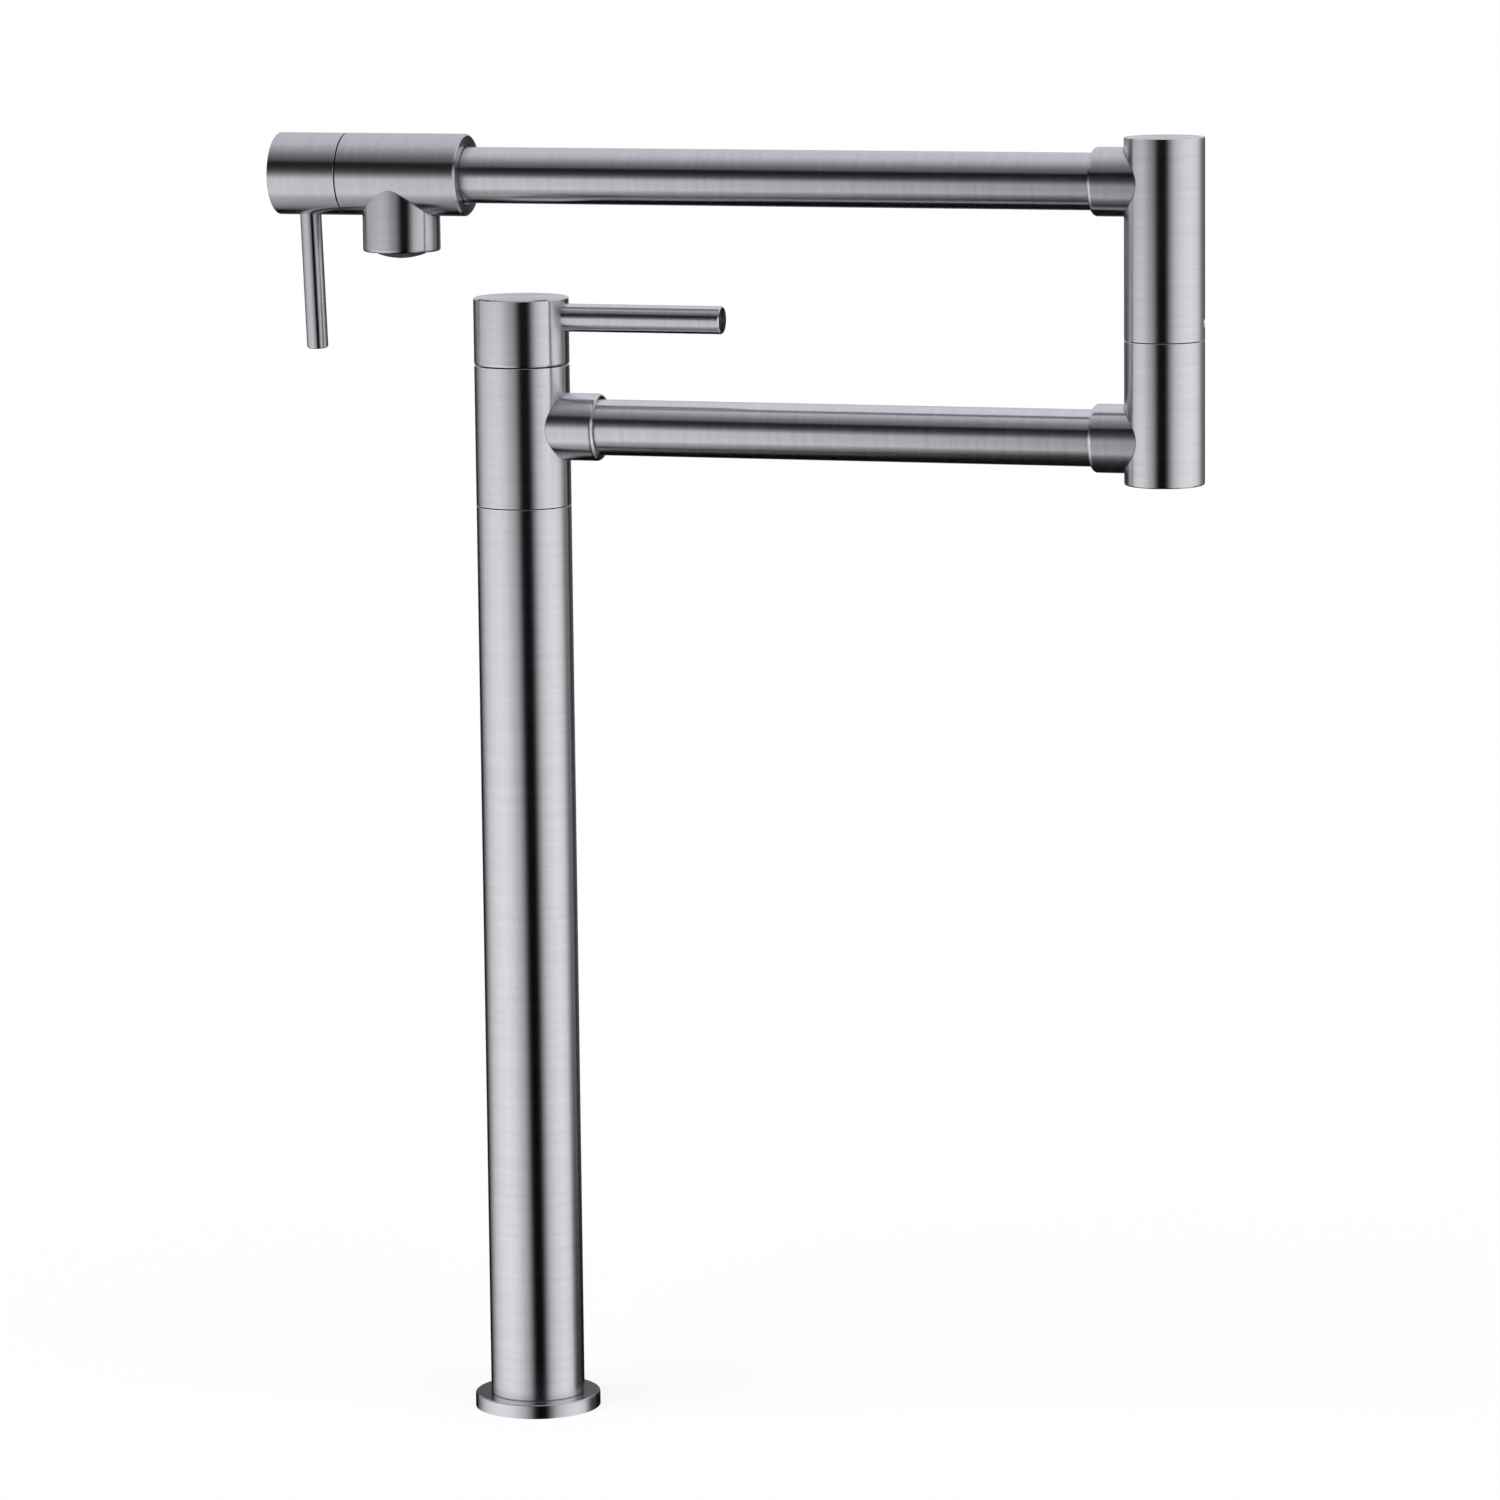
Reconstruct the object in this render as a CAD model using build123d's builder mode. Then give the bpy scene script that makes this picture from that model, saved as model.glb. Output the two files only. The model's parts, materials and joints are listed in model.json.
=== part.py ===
from build123d import *
import os

# Deck-mounted pot filler: a tall column, a lower arm that swivels on it, an elbow post, and an
# upper arm that is folded back over the lower one and ends in a spout with its own tap.
# Millimetres. Origin: centre of the base's underside. +Z up, lower arm along +X.

# Fits
joint_gap = 0.03            # radial room in brazed, screwed and pressed joints
running_fit = 0.05          # room between pieces that turn on each other
seam = 0.4                  # open line between two turning bodies
hub_seam = 0.6              # the same under a handle's hub
edge_break = 0.1            # chamfer on the rims beside a seam
saddle_break = 0.3          # chamfer on a saddle's outer edge
end_break = 0.5             # chamfer on free ends

# Base and riser
flange_d = 53.5
flange_thickness = 6.0
flange_edge = 0.8           # rounding of the flange's upper rim
gasket_margin = 3.0         # flange rim outside the gasket groove
gasket_width = 3.0
gasket_depth = 1.8
shank_thread_d = 24.12      # core of the 3/4 inch pipe thread for the mounting shank
shank_thread_length = 20.0
plug_neck_wall = 2.94
plug_height = 36.0
column_d = 40.0
riser_wall = 2.0
riser_length = 382.2
riser_foot_break = 0.4      # chamfer on the riser's lower rim, a fine groove on the flange
pipe_d = 14.0
pipe_wall = 1.0
pipe_socket_depth = 10.0
waterway_d = 11.0

# Quarter-turn cartridge, used in the column and in the spout
cartridge_d = 18.0
cartridge_depth = 33.3      # from its seat to the mouth that it screws into
cartridge_window_at = 12.0  # from its seat to the middle of its side windows
cartridge_window_d = 7.0
cartridge_sleeve_wall = 0.95
cartridge_foot = 0.5        # sleeve's end above the seat
cartridge_hex_height = 5.0
cartridge_hex_step = 1.0    # hexagon across flats, below the cartridge's diameter
seal_thickness = 2.0
seal_width = 2.5
disc_thickness = 3.0
disc_port_d = 4.6
disc_port_circle_d = 8.4
cup_height = 9.0            # hollow foot of the stem, which turns the upper disc
cup_wall = 1.6
cup_roof = 2.0
stem_d = 8.0
stem_flat_depth = 1.0
stem_flat_length = 14.0
stem_ring_at = 28.0
stem_ring_cord_d = 1.7

# Swivel on the column
core_plug_length = 30.0     # core's foot inside the riser
core_wall = 4.0             # core's wall round the cartridge
core_neck_wall = 3.0        # the same at the nut's thread
arm_axis_rise = 33.1        # swivel body's lower end to the lower arm's axis
arm_port_d = 17.0
chamber_depth = 1.6         # ring-shaped waterway round the core
chamber_margin = 0.5
ring_cord_d = 1.7
ring_groove_width = 2.6
ring_land = 1.7
washer_thickness = 0.8
nut_thickness = 5.0
nut_slot_width = 4.0
nut_slot_depth = 2.0
nut_slot_count = 4
nut_recess_depth = 10.6
swivel_rim = 2.0            # swivel body's wall round the nut
nut_room = 1.0              # between the nut and that wall
washer_inset = 3.0          # washers' rim inside the outer skin

# Arms
arm_span = 276.0            # column axis to elbow axis
arm_tube_d = 23.4
arm_tube_wall = 1.5
collar_wall = 2.4
collar_length_column = 14.9
collar_length_post = 12.85
collar_shoulder = 1.8       # rounding of a collar's end, round the tube
tube_socket_depth = 9.0

# Elbow post
post_d = 32.9
post_floor = 6.0
post_chamber_d = 18.0
post_below_arm = 18.5       # lower arm's axis to the post's lower end
post_foot_edge = 1.0        # rounding of the post's lower rim
lower_post_height = 58.9
upper_post_height = 82.2
post_above_arm = 18.3       # upper arm's axis to the post's upper end
spindle_d = 22.0
spindle_shoulder = 1.0
spindle_bore_d = 12.0
spindle_grip = 24.0
spindle_reach = 38.0        # spindle's length inside the upper post
spindle_end_room = 2.0
spindle_first_ring = 20.0   # upper post's lower end to the first ring
spindle_ring_pitch = 10.0
set_screw_d = 3.0
set_screw_rise = 7.0        # above the upper post's lower end
set_screw_turn = 4.0        # degrees from the side away from the arm, towards the back
set_screw_mouth = 0.5       # depth of the flared mouth of its hole
set_screw_flare = 45.0
set_screw_sink = 0.9
set_screw_hex = 1.5
set_screw_hex_depth = 1.5
set_groove_depth = 1.5
set_groove_room = 0.3

# Spout
spout_reach = 328.4         # elbow axis to outlet axis
valve_d = 34.4
valve_rim_break = 0.8       # chamfer on the valve's rim round the arm
valve_relief = 0.6          # open ring round the tube where it enters the valve
valve_relief_depth = 2.0
valve_socket_depth = 12.0
valve_seat_wall = 5.7
valve_mouth_recess = 2.0
valve_port_d = 12.0
mouth_room = 2.0            # round the cartridge's hexagon
outlet_d = 32.6
outlet_bore_d = 14.0
outlet_neck = 5.4           # valve's underside to the aerator's socket
outlet_edge = 1.2
aerator_d = 20.0
aerator_wall = 1.5
aerator_lip = 0.7
aerator_lip_rise = 0.2      # lip's upper face above the housing's lower edge
aerator_socket_depth = 9.5
aerator_stand_out = 1.0     # housing's lower edge below the outlet
aerator_sag = 1.9           # domed face below that edge
aerator_seal_thickness = 1.5
aerator_seal_width = 3.5
screen_flange = 1.2         # screen's rim on the lip
screen_hole_d = 1.5
screen_hole_pitch = 2.15
screen_rings = 3

# Handles
column_hub_height = 27.9
column_hub_break = 0.6      # chamfer on the column hub's upper rim
column_hub_bevel = (0.25, 0.65)  # bevel on its lower rim: inwards and upwards
column_lever_drop = 8.4     # hub's top to the lever's axis
column_lever_d = 11.7
column_lever_reach = 88.1
spout_hub_length = 29.7
spout_hub_break = 0.3       # chamfer on the spout hub's outer rim
spout_hub_bevel = (0.1, 0.1)     # bevel on its inner rim: inwards and along the axis
spout_lever_drop = 12.5     # hub's outer end to the lever's axis
spout_lever_d = 9.0
spout_lever_reach = 74.3
spout_lever_swing = 5.09    # degrees from straight down, towards the back
hub_wall = 3.2
hub_hollow_depth = 9.3
hub_roof = 3.5              # over the stem's end
lever_seat = 9.0            # lever's inner end from the hub's axis
grub_d = 5.0
grub_length = 8.0
grub_hex = 2.5
grub_hex_depth = 3.0

# Heights up the column and the post
riser_top = flange_thickness + riser_length
swivel_bottom = riser_top + seam
lower_arm_z = swivel_bottom + arm_axis_rise
chamber_half = arm_port_d / 2 + chamber_margin
ring_offset = chamber_half + ring_land + ring_groove_width / 2
ledge_z = lower_arm_z + chamber_half + 2 * ring_land + ring_groove_width
swivel_top = ledge_z + nut_recess_depth
column_hub_bottom = swivel_top + hub_seam
column_hub_top = column_hub_bottom + column_hub_height
core_bottom = riser_top - core_plug_length
column_seat_z = lower_arm_z - cartridge_window_at
core_top = column_seat_z + cartridge_depth
lower_post_bottom = lower_arm_z - post_below_arm
lower_post_top = lower_post_bottom + lower_post_height
upper_post_bottom = lower_post_top + seam
upper_post_top = upper_post_bottom + upper_post_height
upper_arm_z = upper_post_top - post_above_arm
set_screw_z = upper_post_bottom + set_screw_rise
set_screw_way = Vector(1, 0, 0).rotate(Axis.Z, set_screw_turn)

# Distances along the upper arm, from the elbow axis
valve_seat = spout_reach - cartridge_window_at
tube_stop = valve_seat - valve_seat_wall
valve_start = tube_stop - valve_socket_depth
valve_mouth = valve_seat + cartridge_depth
valve_end = valve_mouth + valve_mouth_recess
spout_hub_start = valve_end + hub_seam
spout_hub_end = spout_hub_start + spout_hub_length

# Radii that several pieces share
riser_bore_r = column_d / 2 - riser_wall
plug_neck_r = shank_thread_d / 2 + plug_neck_wall
journal_r = cartridge_d / 2 + core_wall
core_neck_r = cartridge_d / 2 + core_neck_wall
recess_r = column_d / 2 - swivel_rim
ring_groove_depth = ring_cord_d + joint_gap
spindle_r = spindle_d / 2
spindle_foot_r = spindle_r + spindle_shoulder
collar_d = arm_tube_d + 2 * collar_wall
aerator_bore_r = aerator_d / 2 - aerator_wall

# Levels of the outlet, downwards from the valve
aerator_socket_top = upper_arm_z - valve_d / 2 - outlet_neck
outlet_bottom = aerator_socket_top - aerator_socket_depth
aerator_top = aerator_socket_top - aerator_seal_thickness

# Planes through the turning axes: x is the radius, y runs along the axis
column_section = Plane.XZ
post_section = Plane(origin=(arm_span, 0, 0), x_dir=(1, 0, 0), z_dir=(0, -1, 0))
spout_section = Plane(origin=(arm_span, 0, upper_arm_z), x_dir=(0, 0, -1), z_dir=(0, 1, 0))
spout_axis = Axis(spout_section.origin, spout_section.y_dir)
spout_handle_section = Plane(
    origin=spout_section.origin,
    x_dir=spout_section.x_dir.rotate(spout_axis, -spout_lever_swing),
    z_dir=spout_section.z_dir.rotate(spout_axis, -spout_lever_swing),
)

os.makedirs("parts", exist_ok=True)


def save(part, label):
    """Labels a finished piece and writes its STEP file."""
    part.label = label
    export_step(part, f"parts/{label}.step")


def turning_axis(section):
    """The axis that a section plane's half profile turns about."""
    return Axis(section.origin, section.y_dir)


def back_of(section):
    """The direction towards the back, square to a section plane."""
    return section.z_dir if section.z_dir.Y > 0 else -section.z_dir


def across(section, height, direction):
    """A plane whose centre is on the turning axis at a height, looking along a direction."""
    return Plane(
        origin=section.from_local_coords((0, height, 0)), x_dir=section.y_dir, z_dir=direction
    )


def square_to(section, height):
    """A plane square to the turning axis at a height, with its x towards the back."""
    return Plane(
        origin=section.from_local_coords((0, height, 0)),
        x_dir=back_of(section),
        z_dir=section.y_dir,
    )


def widest_rims(builder):
    """The round edges of the largest radius."""
    return builder.edges().filter_by(GeomType.CIRCLE).group_by(SortBy.RADIUS)[-1]


def saddle_rims(builder):
    """The outer edges of a saddle: the longest of those that are neither round nor straight."""
    edges = builder.edges().filter_by(GeomType.CIRCLE, reverse=True)
    return edges.filter_by(GeomType.LINE, reverse=True).group_by(SortBy.LENGTH)[-1]


def make_ring(label, section, inner_r, outer_r, start, end):
    """A plain flat ring: a washer, a seal or a gasket."""
    with BuildPart() as ring:
        with BuildSketch(section):
            with BuildLine():
                Polyline((inner_r, start), (outer_r, start), (outer_r, end), (inner_r, end), close=True)
            make_face()
        revolve(axis=turning_axis(section))
    save(ring.part, label)


def make_o_rings(label, section, centre_r, cord_d, heights):
    """One or more round rings of the same size on one axis."""
    with BuildPart() as rings:
        with BuildSketch(section):
            with Locations(*[(centre_r, height) for height in heights]):
                Circle(cord_d / 2)
        revolve(axis=turning_axis(section))
    save(rings.part, label)


def make_tube(label, start, end, z):
    """An arm's tube along X."""
    with BuildPart() as tube:
        with BuildSketch(Plane.YZ.offset(start)):
            with Locations((0, z)):
                Circle(arm_tube_d / 2)
                Circle(arm_tube_d / 2 - arm_tube_wall, mode=Mode.SUBTRACT)
        extrude(amount=end - start)
    save(tube.part, label)


def make_collar(label, body_x, body_d, z, length, side):
    """A socket that joins an arm's tube to an upright body, saddled to that body's skin."""
    outward = Plane(origin=(body_x, 0, z), x_dir=(0, 1, 0), z_dir=(side, 0, 0))
    reach = body_d / 2 + length
    with BuildPart() as collar:
        with BuildSketch(outward):
            Circle(collar_d / 2)
        extrude(amount=reach)
        fillet(collar.faces().sort_by(Axis(outward.origin, outward.z_dir))[-1].edges(), collar_shoulder)
        with BuildSketch(outward.offset(reach - tube_socket_depth)):
            Circle(arm_tube_d / 2 + joint_gap)
        extrude(amount=tube_socket_depth, mode=Mode.SUBTRACT)
        with BuildSketch(outward):
            Circle(arm_port_d / 2)
        extrude(amount=reach, mode=Mode.SUBTRACT)
        with BuildSketch(Plane(origin=(body_x, 0, z))):
            Circle(body_d / 2 + joint_gap)
        extrude(amount=collar_d, both=True, mode=Mode.SUBTRACT)
        chamfer(saddle_rims(collar), saddle_break)
    save(collar.part, label)


def make_cartridge(name, section, handle_section, seat, stem_end):
    """A quarter-turn headwork on its seat: sleeve, seal, two ceramic discs, stem and stem ring.

    The stem's flat lies square to the handle's section, so the handle may stand at an angle.
    """
    axis = turning_axis(section)
    sleeve_r = cartridge_d / 2 - cartridge_sleeve_wall
    disc_r = sleeve_r - running_fit
    fixed_disc_start = seat + seal_thickness
    moving_disc_start = fixed_disc_start + disc_thickness + running_fit
    cup_start = moving_disc_start + disc_thickness
    cup_end = cup_start + cup_height
    sleeve_roof = cup_end + running_fit
    mouth = seat + cartridge_depth
    stem_bore_r = stem_d / 2 + running_fit
    ring_groove_r = stem_bore_r + stem_ring_cord_d + joint_gap
    ring_centre_r = stem_bore_r + stem_ring_cord_d / 2
    ring_at = seat + stem_ring_at
    groove_half = stem_ring_cord_d / 2 + joint_gap

    with BuildPart() as sleeve:
        with BuildSketch(section):
            with BuildLine():
                Polyline(
                    (sleeve_r, seat + cartridge_foot),
                    (cartridge_d / 2, seat + cartridge_foot),
                    (cartridge_d / 2, mouth),
                    (stem_bore_r, mouth),
                    (stem_bore_r, ring_at + groove_half),
                    (ring_groove_r, ring_at + groove_half),
                    (ring_groove_r, ring_at - groove_half),
                    (stem_bore_r, ring_at - groove_half),
                    (stem_bore_r, sleeve_roof),
                    (sleeve_r, sleeve_roof),
                    close=True,
                )
            make_face()
        revolve(axis=axis)
        with BuildSketch(square_to(section, mouth)):
            RegularPolygon((cartridge_d - cartridge_hex_step) / 2, 6, major_radius=False)
            Circle(stem_bore_r, mode=Mode.SUBTRACT)
        extrude(amount=cartridge_hex_height)
        with BuildSketch(across(section, seat + cartridge_window_at, section.x_dir)):
            Circle(cartridge_window_d / 2)
        extrude(amount=cartridge_d, both=True, mode=Mode.SUBTRACT)
    save(sleeve.part, f"{name}_cartridge_sleeve")

    make_ring(
        f"{name}_cartridge_seal", section, disc_r - seal_width, disc_r, seat, fixed_disc_start
    )

    # The ports of the two discs lie a quarter turn apart, so the tap is shut.
    for disc_label, disc_start, first_port in (
        (f"{name}_fixed_disc", fixed_disc_start, 0),
        (f"{name}_moving_disc", moving_disc_start, 90),
    ):
        with BuildPart() as disc:
            with BuildSketch(square_to(section, disc_start)):
                Circle(disc_r)
                with PolarLocations(disc_port_circle_d / 2, 2, start_angle=first_port):
                    Circle(disc_port_d / 2, mode=Mode.SUBTRACT)
            extrude(amount=disc_thickness)
        save(disc.part, disc_label)

    with BuildPart() as stem:
        with BuildSketch(section):
            with BuildLine():
                Polyline(
                    (disc_r - cup_wall, cup_start),
                    (disc_r, cup_start),
                    (disc_r, cup_end),
                    (stem_d / 2, cup_end),
                    (stem_d / 2, stem_end),
                    (0, stem_end),
                    (0, cup_end - cup_roof),
                    (disc_r - cup_wall, cup_end - cup_roof),
                    close=True,
                )
            make_face()
        revolve(axis=axis)
        with BuildSketch(across(section, seat + cartridge_window_at, section.x_dir)):
            Circle(cartridge_window_d / 2)
        extrude(amount=cartridge_d, both=True, mode=Mode.SUBTRACT)
        with BuildSketch(square_to(handle_section, stem_end - stem_flat_length)):
            with Locations((stem_d - stem_flat_depth, 0)):
                Rectangle(stem_d, stem_d)
        extrude(amount=stem_flat_length, mode=Mode.SUBTRACT)
    save(stem.part, f"{name}_stem")

    make_o_rings(f"{name}_stem_ring", section, ring_centre_r, stem_ring_cord_d, [ring_at])


def make_screw(label, plane, start, diameter, length, hex_size, hex_depth):
    """A headless screw along a plane's normal, with its key socket at the outer end."""
    with BuildPart() as screw:
        with BuildSketch(plane.offset(start)):
            Circle(diameter / 2)
        extrude(amount=length)
        with BuildSketch(plane.offset(start + length - hex_depth)):
            RegularPolygon(hex_size / 2, 6, major_radius=False)
        extrude(amount=hex_depth, mode=Mode.SUBTRACT)
    save(screw.part, label)


def make_handle(
    name, section, hub_d, hub_start, hub_end, bevel, rim_break, lever_at, lever_d, lever_reach
):
    """A round hub over the cartridge, its lever rod, and the screw that holds it on the stem."""
    axis = turning_axis(section)
    bevel_depth, bevel_height = bevel
    stem_end = hub_end - hub_roof
    hollow_r = hub_d / 2 - hub_wall
    hollow_end = hub_start + hub_hollow_depth
    socket_r = stem_d / 2 + joint_gap
    lever_plane = across(section, lever_at, section.x_dir)
    grub_plane = across(section, lever_at, back_of(section))

    with BuildPart() as hub:
        with BuildSketch(section):
            with BuildLine():
                Polyline(
                    (hollow_r, hub_start),
                    (hub_d / 2 - bevel_depth, hub_start),
                    (hub_d / 2, hub_start + bevel_height),
                    (hub_d / 2, hub_end),
                    (0, hub_end),
                    (0, stem_end),
                    (socket_r, stem_end),
                    (socket_r, hollow_end),
                    (hollow_r, hollow_end),
                    close=True,
                )
            make_face()
        revolve(axis=axis)
        chamfer(widest_rims(hub).sort_by(axis)[-1], rim_break)
        with BuildSketch(lever_plane.offset(lever_seat)):
            Circle(lever_d / 2 + joint_gap)
        extrude(amount=hub_d, mode=Mode.SUBTRACT)
        with BuildSketch(grub_plane):
            Circle(grub_d / 2 + joint_gap)
        extrude(amount=hub_d, mode=Mode.SUBTRACT)
    save(hub.part, f"{name}_handle_hub")

    with BuildPart() as lever:
        with BuildSketch(lever_plane.offset(lever_seat)):
            Circle(lever_d / 2)
        extrude(amount=lever_reach - lever_seat)
        chamfer(lever.faces().sort_by(Axis(lever_plane.origin, lever_plane.z_dir))[-1].edges(), end_break)
    save(lever.part, f"{name}_lever")

    make_screw(
        f"{name}_grub_screw",
        grub_plane,
        stem_d / 2 - stem_flat_depth,
        grub_d,
        grub_length,
        grub_hex,
        grub_hex_depth,
    )


# Flange on the deck, with a groove for the gasket
gasket_outer_r = flange_d / 2 - gasket_margin
gasket_inner_r = gasket_outer_r - gasket_width

with BuildPart() as base_flange:
    with BuildSketch(Plane.XY):
        Circle(flange_d / 2)
        Circle(plug_neck_r + joint_gap, mode=Mode.SUBTRACT)
    extrude(amount=flange_thickness)
    fillet(widest_rims(base_flange).sort_by(Axis.Z)[-1], flange_edge)
    with BuildSketch(Plane.XY):
        Circle(gasket_outer_r + joint_gap)
        Circle(gasket_inner_r - joint_gap, mode=Mode.SUBTRACT)
    extrude(amount=gasket_depth, mode=Mode.SUBTRACT)
save(base_flange.part, "base_flange")

make_ring("deck_gasket", column_section, gasket_inner_r, gasket_outer_r, 0, gasket_depth)

# Plug in the riser's foot: shank thread below, socket for the supply pipe above
pipe_bottom = plug_height - pipe_socket_depth

with BuildPart() as base_plug:
    with BuildSketch(column_section):
        with BuildLine():
            Polyline(
                (shank_thread_d / 2, 0),
                (plug_neck_r, 0),
                (plug_neck_r, flange_thickness),
                (riser_bore_r - joint_gap, flange_thickness),
                (riser_bore_r - joint_gap, plug_height),
                (pipe_d / 2 + joint_gap, plug_height),
                (pipe_d / 2 + joint_gap, pipe_bottom),
                (waterway_d / 2, pipe_bottom),
                (waterway_d / 2, shank_thread_length),
                (shank_thread_d / 2, shank_thread_length),
                close=True,
            )
        make_face()
    revolve(axis=Axis.Z)
save(base_plug.part, "base_plug")

with BuildPart() as riser_tube:
    with BuildSketch(Plane.XY.offset(flange_thickness)):
        Circle(column_d / 2)
        Circle(riser_bore_r, mode=Mode.SUBTRACT)
    extrude(amount=riser_length)
    chamfer(widest_rims(riser_tube).sort_by(Axis.Z)[-1], edge_break)
    chamfer(widest_rims(riser_tube).sort_by(Axis.Z)[0], riser_foot_break)
save(riser_tube.part, "riser_tube")

make_ring(
    "supply_pipe",
    column_section,
    pipe_d / 2 - pipe_wall,
    pipe_d / 2,
    pipe_bottom,
    core_bottom + pipe_socket_depth,
)

# Fixed core that the swivel body turns on. It carries the cartridge and two sealing rings.
ring_heights = [lower_arm_z - ring_offset, lower_arm_z + ring_offset]

with BuildPart() as column_core:
    with BuildSketch(column_section):
        with BuildLine():
            Polyline(
                (pipe_d / 2 + joint_gap, core_bottom),
                (riser_bore_r - joint_gap, core_bottom),
                (riser_bore_r - joint_gap, riser_top),
                (journal_r, riser_top),
                (journal_r, ledge_z),
                (core_neck_r, ledge_z),
                (core_neck_r, core_top),
                (cartridge_d / 2 + joint_gap, core_top),
                (cartridge_d / 2 + joint_gap, column_seat_z),
                (waterway_d / 2, column_seat_z),
                (waterway_d / 2, core_bottom + pipe_socket_depth),
                (pipe_d / 2 + joint_gap, core_bottom + pipe_socket_depth),
                close=True,
            )
        make_face()
        with Locations(*[(journal_r - ring_groove_depth / 2, height) for height in ring_heights]):
            Rectangle(ring_groove_depth, ring_groove_width, mode=Mode.SUBTRACT)
    revolve(axis=Axis.Z)
    with BuildSketch(across(column_section, lower_arm_z, (1, 0, 0))):
        Circle(cartridge_window_d / 2)
    extrude(amount=column_d, both=True, mode=Mode.SUBTRACT)
save(column_core.part, "column_core")

make_o_rings("column_rings", column_section, journal_r - ring_cord_d / 2, ring_cord_d, ring_heights)

make_ring(
    "lower_thrust_washer",
    column_section,
    journal_r + running_fit,
    column_d / 2 - washer_inset,
    riser_top,
    swivel_bottom - running_fit,
)

make_ring(
    "upper_thrust_washer",
    column_section,
    core_neck_r + running_fit,
    recess_r - nut_room,
    ledge_z + running_fit,
    ledge_z + washer_thickness,
)

# Slotted ring nut that holds the swivel body down
with BuildPart() as swivel_nut:
    with BuildSketch(Plane.XY.offset(ledge_z + washer_thickness)):
        Circle(recess_r - nut_room)
        Circle(core_neck_r + joint_gap, mode=Mode.SUBTRACT)
        with PolarLocations(recess_r - nut_room, nut_slot_count):
            Rectangle(2 * nut_slot_depth, nut_slot_width, mode=Mode.SUBTRACT)
    extrude(amount=nut_thickness)
save(swivel_nut.part, "swivel_nut")

make_cartridge(
    "column", column_section, column_section, column_seat_z, column_hub_top - hub_roof
)

# Lower arm: swivel body, tube between two collars, and the lower half of the elbow post
swivel_bore_r = journal_r + running_fit
chamber_r = journal_r + chamber_depth

with BuildPart() as swivel_body:
    with BuildSketch(column_section):
        with BuildLine():
            Polyline(
                (swivel_bore_r, swivel_bottom),
                (column_d / 2, swivel_bottom),
                (column_d / 2, swivel_top),
                (recess_r, swivel_top),
                (recess_r, ledge_z),
                (swivel_bore_r, ledge_z),
                (swivel_bore_r, lower_arm_z + chamber_half),
                (chamber_r, lower_arm_z + chamber_half),
                (chamber_r, lower_arm_z - chamber_half),
                (swivel_bore_r, lower_arm_z - chamber_half),
                close=True,
            )
        make_face()
    revolve(axis=Axis.Z)
    chamfer(widest_rims(swivel_body), edge_break)
    with BuildSketch(across(column_section, lower_arm_z, (1, 0, 0))):
        Circle(arm_port_d / 2)
    extrude(amount=column_d, mode=Mode.SUBTRACT)
save(swivel_body.part, "swivel_body")

column_collar_end = column_d / 2 + collar_length_column
post_collar_end = arm_span - post_d / 2 - collar_length_post

make_collar("lower_arm_inner_collar", 0, column_d, lower_arm_z, collar_length_column, 1)
make_collar("lower_arm_outer_collar", arm_span, post_d, lower_arm_z, collar_length_post, -1)
make_tube(
    "lower_arm_tube",
    column_collar_end - tube_socket_depth,
    post_collar_end + tube_socket_depth,
    lower_arm_z,
)

spindle_bottom = lower_post_top - spindle_grip

with BuildPart() as lower_post:
    with BuildSketch(post_section):
        with BuildLine():
            Polyline(
                (0, lower_post_bottom),
                (post_d / 2, lower_post_bottom),
                (post_d / 2, lower_post_top),
                (spindle_foot_r + joint_gap, lower_post_top),
                (spindle_foot_r + joint_gap, spindle_bottom),
                (post_chamber_d / 2, spindle_bottom),
                (post_chamber_d / 2, lower_post_bottom + post_floor),
                (0, lower_post_bottom + post_floor),
                close=True,
            )
        make_face()
    revolve(axis=turning_axis(post_section))
    fillet(widest_rims(lower_post).sort_by(Axis.Z)[0], post_foot_edge)
    chamfer(widest_rims(lower_post).sort_by(Axis.Z)[-1], edge_break)
    with BuildSketch(across(post_section, lower_arm_z, (-1, 0, 0))):
        Circle(arm_port_d / 2)
    extrude(amount=post_d, mode=Mode.SUBTRACT)
save(lower_post.part, "lower_post")

# Hollow spindle of the elbow, screwed into the lower post
spindle_top = upper_post_bottom + spindle_reach
first_ring_z = upper_post_bottom + spindle_first_ring
spindle_rings = [first_ring_z, first_ring_z + spindle_ring_pitch]
set_groove_width = set_screw_d + 2 * set_groove_room

with BuildPart() as elbow_spindle:
    with BuildSketch(post_section):
        with BuildLine():
            Polyline(
                (spindle_bore_d / 2, spindle_bottom),
                (spindle_foot_r, spindle_bottom),
                (spindle_foot_r, lower_post_top),
                (spindle_r, lower_post_top),
                (spindle_r, spindle_top),
                (spindle_bore_d / 2, spindle_top),
                close=True,
            )
        make_face()
        with Locations(*[(spindle_r - ring_groove_depth / 2, height) for height in spindle_rings]):
            Rectangle(ring_groove_depth, ring_groove_width, mode=Mode.SUBTRACT)
        with Locations((spindle_r - set_groove_depth / 2, set_screw_z)):
            Rectangle(set_groove_depth, set_groove_width, mode=Mode.SUBTRACT)
    revolve(axis=turning_axis(post_section))
save(elbow_spindle.part, "elbow_spindle")

make_o_rings("elbow_rings", post_section, spindle_r - ring_cord_d / 2, ring_cord_d, spindle_rings)

make_ring(
    "elbow_thrust_washer",
    post_section,
    spindle_r + running_fit,
    post_d / 2 - washer_inset,
    lower_post_top,
    upper_post_bottom - running_fit,
)

# Upper arm: upper half of the elbow post, its collar, and the tube to the spout
spindle_room_top = spindle_top + spindle_end_room

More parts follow.
